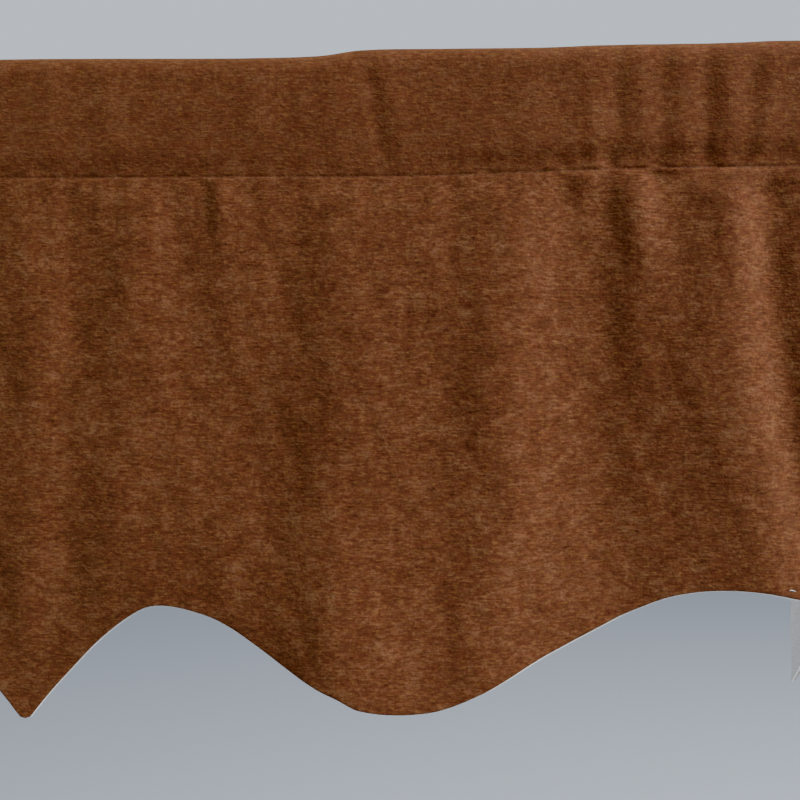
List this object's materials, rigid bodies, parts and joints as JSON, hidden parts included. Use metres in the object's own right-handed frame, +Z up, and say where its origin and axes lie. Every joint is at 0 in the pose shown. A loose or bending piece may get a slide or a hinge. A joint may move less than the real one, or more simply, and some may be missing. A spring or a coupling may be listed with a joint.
{
  "type": "window valance",
  "caption": "Lined window valance with a flat rod sleeve, wrap-round returns and a hem shaped in arches, scallops and a pointed centre drop.",
  "frame": {"origin": "middle of the top edge, on the fold over the rod sleeve", "axes": "+X to the right along the front, +Y to the wall, +Z up; the front faces -Y"},
  "size_m": [1.0804, 0.1237, 0.4446],
  "materials": {
    "face_cloth": "rust-brown chenille with a short crushed nap and a soft sheen",
    "lining_cloth": "pale plain-weave sateen, matt"
  },
  "bodies": {
    "root": {"face_panel": "face_cloth", "rod_pocket_front": "face_cloth", "rod_pocket_left": "face_cloth", "rod_pocket_right": "face_cloth", "lining_panel": "lining_cloth"}
  },
  "joints": []
}
